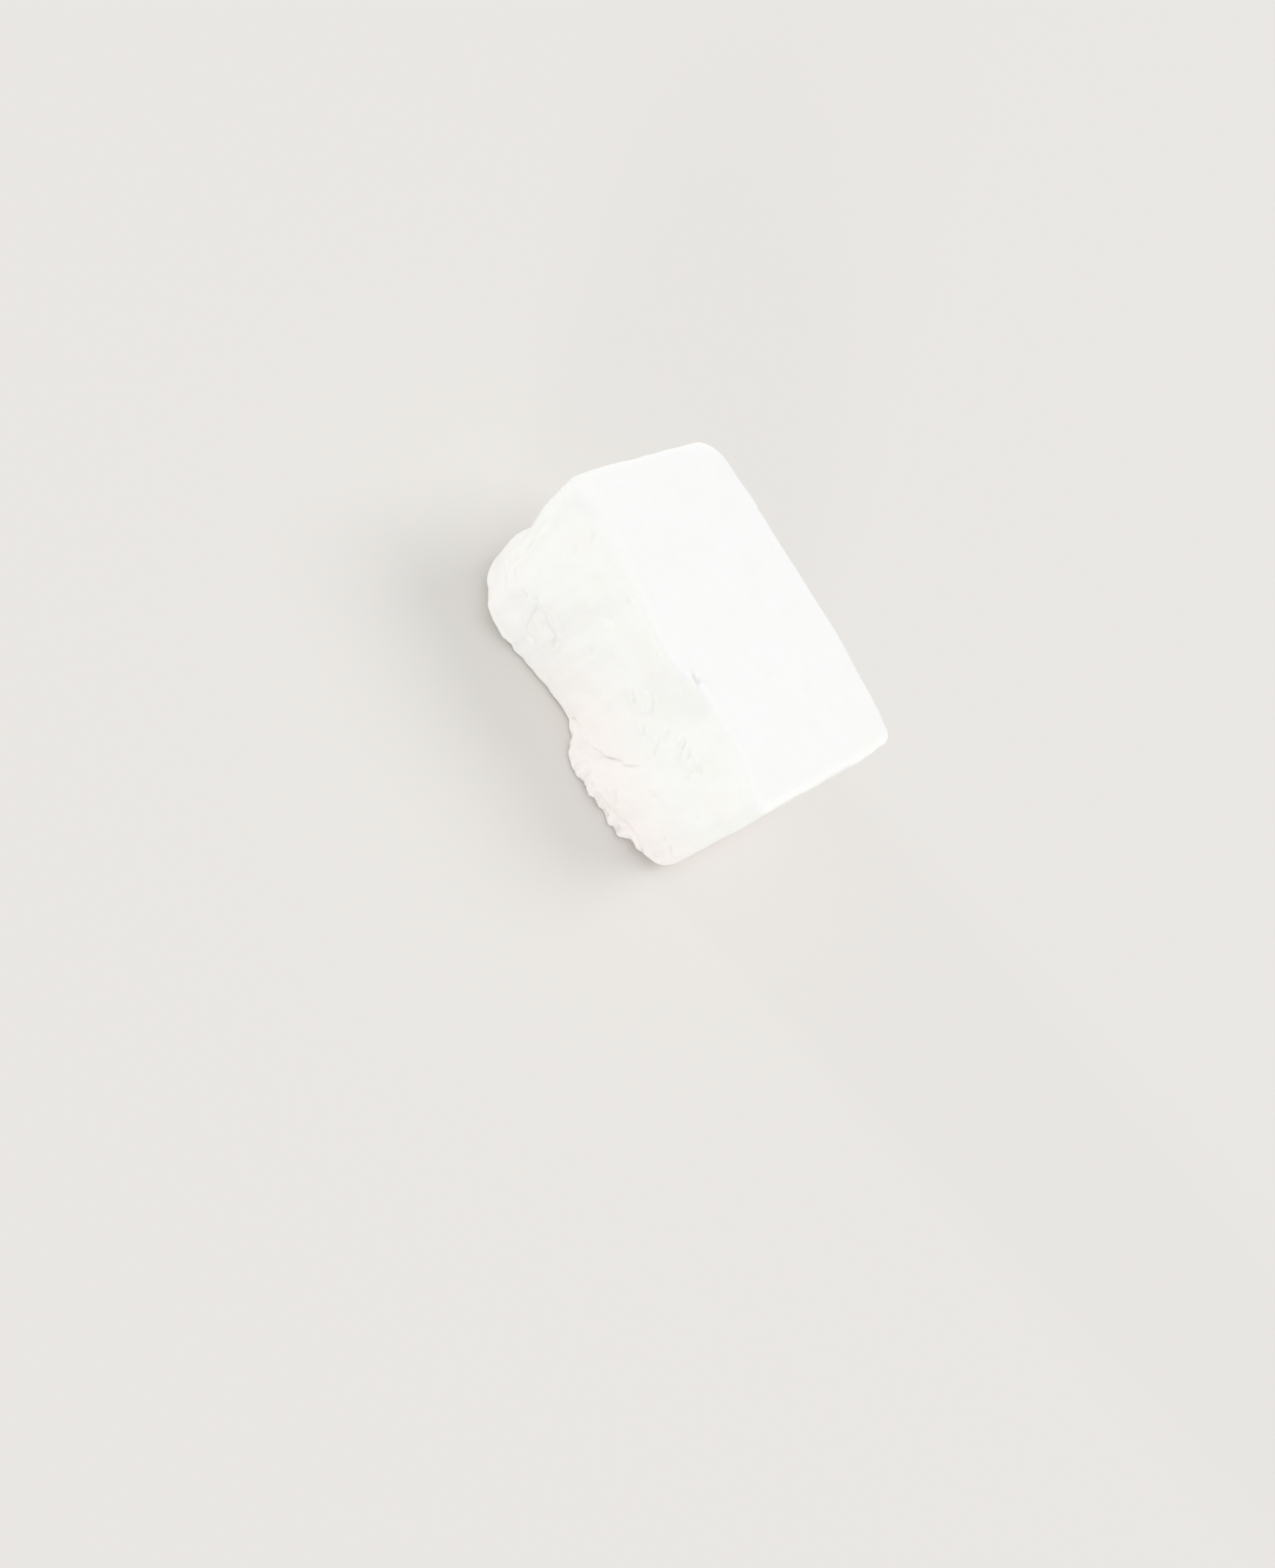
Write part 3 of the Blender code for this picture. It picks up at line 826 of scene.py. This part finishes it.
# The cells are finer at the edges of the box and, along X and up, at the torn foot.
X_SLICES = slices(-LENGTH / 2, ((0.0, 0.00062), (0.055, 0.00044), (LENGTH / 2, 0.0005)))
Y_SLICES = slices(-WIDTH / 2, ((-0.031, 0.0006), (0.031, 0.0011), (WIDTH / 2, 0.0006)))
Z_SLICES = slices(0.0, ((0.011, 0.00042), (0.051, 0.00062), (HEIGHT, 0.0005)))
print(len(X_SLICES), "x", len(Y_SLICES), "x", len(Z_SLICES), "slices")

# %% [markdown]
# ## Laying out the six sides
# A corner of a cell is named by its three slice numbers. The six sides are laid out one after
# another, and a corner that two sides share has the same name in both, so it is made only once and
# the mesh is closed. The corners go round each cell the way that turns its outside outwards.

# %% The cells of the box
LAST = (len(X_SLICES) - 1, len(Y_SLICES) - 1, len(Z_SLICES) - 1)
ROUND_A_CELL = ((0, 0), (1, 0), (1, 1), (0, 1))


def side_cells(axis, level):
    """The cells of the side of the box at this slice of an axis, each as its four corners."""
    across, up = (axis + 1) % 3, (axis + 2) % 3
    for row in range(LAST[across]):
        for column in range(LAST[up]):
            cell = []
            for step_across, step_up in ROUND_A_CELL:
                corner = [level, level, level]
                corner[across] = row + step_across
                corner[up] = column + step_up
                cell.append(tuple(corner))
            yield cell


corner_numbers = {}
box_cells = []
for axis in range(3):
    for level in (0, LAST[axis]):
        for cell in side_cells(axis, level):
            numbers = [corner_numbers.setdefault(corner, len(corner_numbers)) for corner in cell]
            box_cells.append(numbers if level else numbers[::-1])
box_corners = [Vector((X_SLICES[i], Y_SLICES[j], Z_SLICES[k])) for i, j, k in corner_numbers]
print(len(box_corners), "corners,", len(box_cells), "cells,", 2 * len(box_cells), "triangles")

# %% [markdown]
# ## Shaping the block
# Now every corner goes to its place. The finish will need to know where the cheese is cut and
# where it is torn, so each corner also carries those two values. Last, the whole block moves by the
# few millimetres that centre it on its solid.

# %% Every corner in its place


def cut_share(facing):
    """1 on the clean-cut face, falling to 0 where the surface has turned 60 degrees from it."""
    return smooth(facing.z * 2.0 - 1.0)


places = [cheese_point(corner) for corner in box_corners]
rounded_corners = [rounded(corner) for corner in box_corners]
torn = [torn_share(start) for start, facing in rounded_corners]
cut = [cut_share(facing) for start, facing in rounded_corners]
lows = [min(place[axis] for place in places) for axis in range(3)]
highs = [max(place[axis] for place in places) for axis in range(3)]
print("the block measures", in_mm(*[high - low for low, high in zip(lows, highs)]))

# %% The mesh on its solid
node_low, node_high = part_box("cheese_block")
shift = Vector(((node_low[0] + node_high[0] - lows[0] - highs[0]) / 2,
                (node_low[1] + node_high[1] - lows[1] - highs[1]) / 2, 0.0))
mesh = bpy.data.meshes.new("cream_cheese_block")
mesh.from_pydata([place + shift for place in places], [], box_cells)
for name, values in (("torn", torn), ("cut", cut)):
    layer = mesh.attributes.new(name, "FLOAT", "POINT")
    layer.data.foreach_set("value", values)
mesh.shade_smooth()
cheese = bpy.data.objects.new("cream_cheese_block", mesh)
bpy.context.scene.collection.objects.link(cheese)
print("the block moves by", in_mm(*shift), "onto its solid")

# %% [markdown]
# ## The finish of the cheese
# Fresh cheese is white, but not flat white: its whites differ by a breath from place to place. A
# single colour would look like plaster, and a painted picture would stretch round the corners. So
# the finish is worked out at each point, from random patterns in the curd and from the two values
# that the mesh carries. Such a finish is a net of nodes, and five short helpers keep it readable.

# %% A material, and short ways to wire it
finish = bpy.data.materials.new("fresh_cheese")
finish.use_nodes = True
nodes, links = finish.node_tree.nodes, finish.node_tree.links
shader = nodes["Principled BSDF"]
# A Mix node has places for numbers, vectors and colours. These are the ones for colours.
MIX_SHARE, MIX_FIRST, MIX_SECOND, MIX_RESULT = 0, 6, 7, 2


def add(kind, **settings):
    """A new node of this kind, with these settings."""
    node = nodes.new(kind)
    for name, value in settings.items():
        setattr(node, name, value)
    return node


def feed(socket, value):
    """Give a socket a constant, or the output of another node."""
    if isinstance(value, bpy.types.NodeSocket):
        links.new(value, socket)
    else:
        socket.default_value = value


def calculated(operation, first, second):
    """The result of a sum with two values."""
    node = add("ShaderNodeMath", operation=operation)
    feed(node.inputs[0], first)
    feed(node.inputs[1], second)
    return node.outputs[0]


def ranged(value, start, stop, at_start, at_stop):
    """A value between start and stop, turned into one between at_start and at_stop."""
    node = add("ShaderNodeMapRange")
    feed(node.inputs["Value"], value)
    feed(node.inputs["From Min"], start)
    feed(node.inputs["From Max"], stop)
    feed(node.inputs["To Min"], at_start)
    feed(node.inputs["To Max"], at_stop)
    return node.outputs["Result"]


def mixed(share, first, second):
    """The first colour where the share is 0, the second where it is 1."""
    node = add("ShaderNodeMix", data_type="RGBA")
    feed(node.inputs[MIX_SHARE], share)
    feed(node.inputs[MIX_FIRST], first)
    feed(node.inputs[MIX_SECOND], second)
    return node.outputs[MIX_RESULT]


print("the new material has", len(nodes), "nodes")

# %% Patterns in the curd
# Each pattern: how many of its spots fit into a metre, and how much finer detail they have.
CLOUDS = (65.0, 3.0)
PATCHES = (210.0, 4.0)
GRAINS = (900.0, 3.0)
FINE_GRAINS = (2600.0, 2.0)
curd_place = add("ShaderNodeTexCoord").outputs["Object"]


def pattern(spots_per_metre, detail):
    """A random pattern from 0 to 1 that fills the block, so that it has no seams."""
    node = add("ShaderNodeTexNoise")
    feed(node.inputs["Vector"], curd_place)
    feed(node.inputs["Scale"], spots_per_metre)
    feed(node.inputs["Detail"], detail)
    return node.outputs["Fac"]


clouds = pattern(*CLOUDS)
patches = pattern(*PATCHES)
grains = pattern(*GRAINS)
fine_grains = pattern(*FINE_GRAINS)
is_cut = add("ShaderNodeAttribute", attribute_name="cut").outputs["Fac"]
is_torn = add("ShaderNodeAttribute", attribute_name="torn").outputs["Fac"]
print("the clouds are about", in_mm(1.0 / CLOUDS[0]), "wide")

# %% [markdown]
# ### Whites
# The cut face is the cleanest white, and the other sides are a little greener, as whey is. Clouds
# and small patches of cream lie in both. Painted on the foot of the near half are warm bounce light
# and a little shade: a faint pink that fades upwards and towards the far end.

# %% The whites
CUT_WHITE = (0.945, 0.945, 0.937, 1.0)
CURD_WHITE = (0.936, 0.949, 0.922, 1.0)
CREAM_WHITE = (0.915, 0.900, 0.845, 1.0)
# The pink foot white is painted warm bounce light with a little painted shade, not the curd's own
# colour.
PAINTED_BOUNCE_WHITE = (0.972, 0.908, 0.885, 1.0)
# Each of these: (from, to, the share at from, the share at to).
CLOUD_CREAM = (0.45, 0.75, 0.0, 0.35)
PATCH_CREAM = (0.50, 0.80, 0.0, 0.25)
# Where the painted bounce light lies: strongest low on the near half, fading upwards and towards
# the far end.
PAINTED_BOUNCE_BY_HEIGHT = (0.012, 0.030, 0.85, 0.0)
PAINTED_BOUNCE_BY_X = (-0.022, 0.004, 0.25, 1.0)

white = mixed(is_cut, CURD_WHITE, CUT_WHITE)
white = mixed(ranged(clouds, *CLOUD_CREAM), white, CREAM_WHITE)
white = mixed(ranged(patches, *PATCH_CREAM), white, CREAM_WHITE)
split = add("ShaderNodeSeparateXYZ")
feed(split.inputs[0], curd_place)
# The share of painted warm bounce light and shade at each point.
bounce_near_share = ranged(split.outputs["X"], *PAINTED_BOUNCE_BY_X)
bounce_foot_share = ranged(split.outputs["Z"], *PAINTED_BOUNCE_BY_HEIGHT)
painted_bounce_share = calculated("MULTIPLY", bounce_foot_share, bounce_near_share)
feed(shader.inputs["Base Color"], mixed(painted_bounce_share, white, PAINTED_BOUNCE_WHITE))
print("the whites need", len(nodes), "nodes so far")

# %% [markdown]
# ### Gloss and grain
# Fresh cheese is moist but not shiny. The cut face is a little smoother than the rest, the torn
# foot is the dullest, and patches differ everywhere. The finest grain would need far smaller cells
# in the mesh. It is a fraction of a millimetre high and hardly changes the outline, so it is only
# shaded, by a bump node.

# %% Gloss and grain
PATCH_DULLNESS = (0.3, 0.7, 0.54, 0.66)
CUT_GLOSS = 0.06
TORN_DULLNESS = 0.22
FINE_GRAIN_SHARE = 0.35
CUT_CALM = 0.75
TORN_EXTRA = 2.0
GRAIN_STRENGTH = 0.55
GRAIN_HEIGHT = 0.00022

dullness = ranged(patches, *PATCH_DULLNESS)
dullness = calculated("SUBTRACT", dullness, calculated("MULTIPLY", is_cut, CUT_GLOSS))
dullness = calculated("ADD", dullness, calculated("MULTIPLY", is_torn, TORN_DULLNESS))
feed(shader.inputs["Roughness"], dullness)

calm = calculated("SUBTRACT", 1.0, calculated("MULTIPLY", is_cut, CUT_CALM))
relief = calculated("ADD", calculated("MULTIPLY", fine_grains, FINE_GRAIN_SHARE), grains)
relief = calculated("MULTIPLY", relief, calm)
extra = calculated("ADD", calculated("MULTIPLY", is_torn, TORN_EXTRA), 1.0)
relief = calculated("MULTIPLY", relief, extra)
grain_bump = add("ShaderNodeBump")
feed(grain_bump.inputs["Strength"], GRAIN_STRENGTH)
feed(grain_bump.inputs["Distance"], GRAIN_HEIGHT)
feed(grain_bump.inputs["Height"], relief)
feed(shader.inputs["Normal"], grain_bump.outputs["Normal"])
print("a full grain is shaded as", in_mm(GRAIN_HEIGHT), "high")

# %% [markdown]
# ### Light inside the curd
# Light goes up to about a millimetre into fresh cheese and comes out again, which softens every
# small shadow: that is subsurface scattering. Red light goes furthest and blue least. The share is
# kept low, because more of it washes out the strokes and cracks.

# %% Light inside the curd
INSIDE_SHARE = 0.30
INSIDE_DEPTH = 0.0009
INSIDE_BY_COLOUR = (1.0, 0.85, 0.65)
SURFACE_SHINE = 0.24
CHEESE_IOR = 1.42

feed(shader.inputs["Subsurface Weight"], INSIDE_SHARE)
feed(shader.inputs["Subsurface Scale"], INSIDE_DEPTH)
feed(shader.inputs["Subsurface Radius"], INSIDE_BY_COLOUR)
feed(shader.inputs["Specular IOR Level"], SURFACE_SHINE)
feed(shader.inputs["IOR"], CHEESE_IOR)
mesh.materials.append(finish)
print("the finish has", len(nodes), "nodes")

# %% [markdown]
# ## The floor and the light
# White on white needs soft, even light with a little direction. The floor is plain, pale and dull,
# and so large that its edge is far away. It lies a hair below the block, so that the two surfaces
# are never in the same place.

# %% A plain pale floor
FLOOR_SIZE = 12.0
FLOOR_GAP = 0.0001
FLOOR_TONE = (0.800, 0.780, 0.752, 1.0)
FLOOR_DULLNESS = 0.8
FLOOR_SHINE = 0.15

floor_material = bpy.data.materials.new("pale_floor")
floor_material.use_nodes = True
floor_shader = floor_material.node_tree.nodes["Principled BSDF"]
floor_shader.inputs["Base Color"].default_value = FLOOR_TONE
floor_shader.inputs["Roughness"].default_value = FLOOR_DULLNESS
floor_shader.inputs["Specular IOR Level"].default_value = FLOOR_SHINE

half = FLOOR_SIZE / 2
floor_corners = [(-half, -half, 0.0), (half, -half, 0.0), (half, half, 0.0), (-half, half, 0.0)]
floor_mesh = bpy.data.meshes.new("floor")
floor_mesh.from_pydata(floor_corners, [], [(0, 1, 2, 3)])
floor_mesh.materials.append(floor_material)
floor = bpy.data.objects.new("floor", floor_mesh)
floor.location.z = -FLOOR_GAP
bpy.context.scene.collection.objects.link(floor)
print("the floor is", FLOOR_SIZE, "m wide")

# %% [markdown]
# ### A pale sky and three lamps
# The sky lights the block from all around, so no shadow is dark. A large lamp close by is the
# usual way to add direction, but it leaves a bright patch on a pale floor, and a low one a bright
# strip. A sun lamp shines as if from endlessly far away: it lights the whole floor alike, and a
# wide angle makes it as soft as a large lamp. The strongest stands high behind the block. A low one
# lights the rough side from the front, and a low narrow one skims over it from the far end, so that
# the creases and strokes show. The standard view shows white as white, where others make it grey.

# %% The sky and the lamps
SKY_TONE = (1.0, 1.0, 1.0, 1.0)
SKY_STRENGTH = 0.80
# Each lamp: the direction it stands in, how many degrees wide it looks, and how strong it is.
LAMPS = {
    "top_softbox": ((0.20, 0.58, 0.78), 34.0, 0.74),
    "low_softbox": ((0.62, -0.78, 0.10), 16.0, 0.65),
    "skimming_softbox": ((-0.94, -0.30, 0.08), 8.0, 0.66),
}

sky = bpy.data.worlds.new("studio")
sky.use_nodes = True
sky.node_tree.nodes["Background"].inputs["Color"].default_value = SKY_TONE
sky.node_tree.nodes["Background"].inputs["Strength"].default_value = SKY_STRENGTH
bpy.context.scene.world = sky
bpy.context.scene.view_settings.view_transform = "Standard"
for name, (direction, width, strength) in LAMPS.items():
    data = bpy.data.lights.new(name, "SUN")
    data.angle = math.radians(width)
    data.energy = strength
    light = bpy.data.objects.new(name, data)
    light.rotation_mode = "QUATERNION"
    light.rotation_quaternion = Vector(direction).to_track_quat("Z", "Y")
    bpy.context.scene.collection.objects.link(light)
print(len(LAMPS), "lamps and a pale sky")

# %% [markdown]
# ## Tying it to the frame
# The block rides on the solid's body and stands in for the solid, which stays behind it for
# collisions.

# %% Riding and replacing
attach(cheese, "root")
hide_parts("cheese_block")
